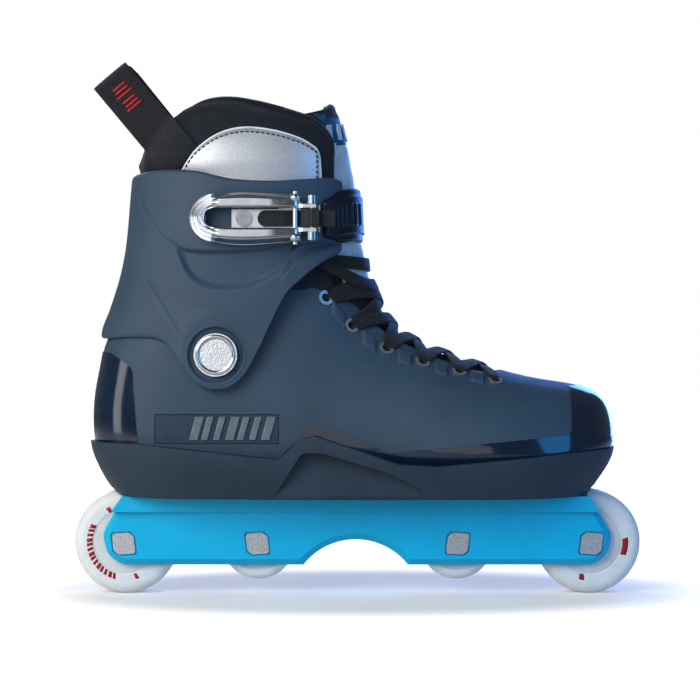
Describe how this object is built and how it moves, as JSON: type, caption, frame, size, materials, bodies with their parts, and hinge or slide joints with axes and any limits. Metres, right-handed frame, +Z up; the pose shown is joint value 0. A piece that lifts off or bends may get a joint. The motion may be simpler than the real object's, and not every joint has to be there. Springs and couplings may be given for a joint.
{
  "type": "inline skate",
  "caption": "Aggressive inline skate for the right foot with a hinged cuff, ratchet buckle, laced shell and rolling wheels in a one-piece grind frame.",
  "frame": {"origin": "on the ground under the middle of the wheelbase, in the wheels' middle plane", "axes": "+X to the toe, +Z up, -Y to the lateral (outer) side"},
  "size_m": [0.312, 0.1136, 0.2939],
  "materials": {
    "shell_plastic": "fine grained, matte",
    "cuff_plastic": "fine grained, matte",
    "soul_plastic": "fine grained, matte",
    "gloss_plastic_navy": "polished",
    "badge_plastic": "coarse grained",
    "eyelet_metal": "satin nickel",
    "fastener_steel": "satin",
    "liner_fabric": "neoprene",
    "tongue_fabric": "padded textile",
    "foam_rubber": "foam",
    "footbed_fabric": "felt",
    "patch_leather": "silver coated",
    "webbing": "ribbed webbing",
    "lace_fabric": "woven",
    "pivot_metal": "cast, textured face",
    "strap_plastic": "moulded, ribbed",
    "ladder_plastic": "moulded",
    "pawl_plastic": "moulded",
    "buckle_steel": "pressed, satin",
    "drum_metal": "polished",
    "lever_chrome": "polished",
    "axle_metal": "sand blasted",
    "bolt_metal": "zinc plated",
    "frame_plastic": "satin, injection moulded",
    "bearing_steel": "ground",
    "spacer_aluminium": "turned",
    "urethane": "cast urethane",
    "hub_plastic": "moulded nylon"
  },
  "bodies": {
    "boot": {"shell": "shell_plastic", "heel_guard": "gloss_plastic_navy", "toe_guard": "gloss_plastic_navy", "side_badges": "badge_plastic", "eyelets": "eyelet_metal", "soul_plate": "soul_plastic", "soul_screws": "fastener_steel", "liner_lower": "liner_fabric", "tongue_lower": "tongue_fabric", "shock_absorber": "foam_rubber", "footbed": "footbed_fabric", "laces": "lace_fabric", "cuff_bolt_lateral": "pivot_metal", "cuff_bolt_medial": "pivot_metal", "axles": "axle_metal", "axle_bolts": "bolt_metal", "frame": "frame_plastic", "frame_bolts": "bolt_metal", "frame_washers": "fastener_steel", "frame_nuts": "fastener_steel", "bearing_inner_rings": "bearing_steel", "bearing_spacers": "spacer_aluminium"},
    "cuff": {"cuff": "cuff_plastic", "shin_strap": "strap_plastic", "strap_rivets": "fastener_steel", "buckle_base": "buckle_steel", "buckle_screw": "fastener_steel", "lever_pin": "fastener_steel", "guide_pin": "fastener_steel", "guide_drums": "drum_metal", "ladder_strap": "ladder_plastic", "liner_upper": "liner_fabric", "tongue_upper": "tongue_fabric", "ankle_patches": "patch_leather", "pull_strap": "webbing", "lace_top": "lace_fabric"},
    "lever": {"lever": "lever_chrome"},
    "pawl": {"pawl": "pawl_plastic"},
    "wheel_1": {"tyre_1": "urethane", "hub_1": "hub_plastic", "bearing_outer_rings_1": "bearing_steel", "bearing_balls_1": "bearing_steel"},
    "wheel_2": {"tyre_2": "urethane", "hub_2": "hub_plastic", "bearing_outer_rings_2": "bearing_steel", "bearing_balls_2": "bearing_steel"},
    "wheel_3": {"tyre_3": "urethane", "hub_3": "hub_plastic", "bearing_outer_rings_3": "bearing_steel", "bearing_balls_3": "bearing_steel"},
    "wheel_4": {"tyre_4": "urethane", "hub_4": "hub_plastic", "bearing_outer_rings_4": "bearing_steel", "bearing_balls_4": "bearing_steel"}
  },
  "joints": [
    {"name": "cuff_flex", "type": "hinge", "parent": "boot", "child": "cuff", "pos_m": [-0.0754, 0, 0.1314], "axis": [0, 1, 0], "range_deg": [0, 10]},
    {"name": "lever_swing", "type": "hinge", "parent": "cuff", "child": "lever", "pos_m": [-0.033, -0.0516, 0.2036], "axis": [0, 0, 1], "range_deg": [0, 105]},
    {"name": "pawl_lift", "type": "hinge", "parent": "cuff", "child": "pawl", "pos_m": [-0.024, -0.0524, 0.2036], "axis": [0, 0, 1], "range_deg": [0, 18], "stiffness_Nm_per_rad": 0.02, "springref_deg": -17.19},
    {"name": "wheel_1_spin", "type": "hinge", "parent": "boot", "child": "wheel_1", "pos_m": [-0.1275, 0, 0.0285], "axis": [0, 1, 0], "continuous": true},
    {"name": "wheel_2_spin", "type": "hinge", "parent": "boot", "child": "wheel_2", "pos_m": [-0.0546, 0, 0.0285], "axis": [0, 1, 0], "continuous": true},
    {"name": "wheel_3_spin", "type": "hinge", "parent": "boot", "child": "wheel_3", "pos_m": [0.0546, 0, 0.0285], "axis": [0, 1, 0], "continuous": true},
    {"name": "wheel_4_spin", "type": "hinge", "parent": "boot", "child": "wheel_4", "pos_m": [0.1275, 0, 0.0285], "axis": [0, 1, 0], "continuous": true}
  ]
}
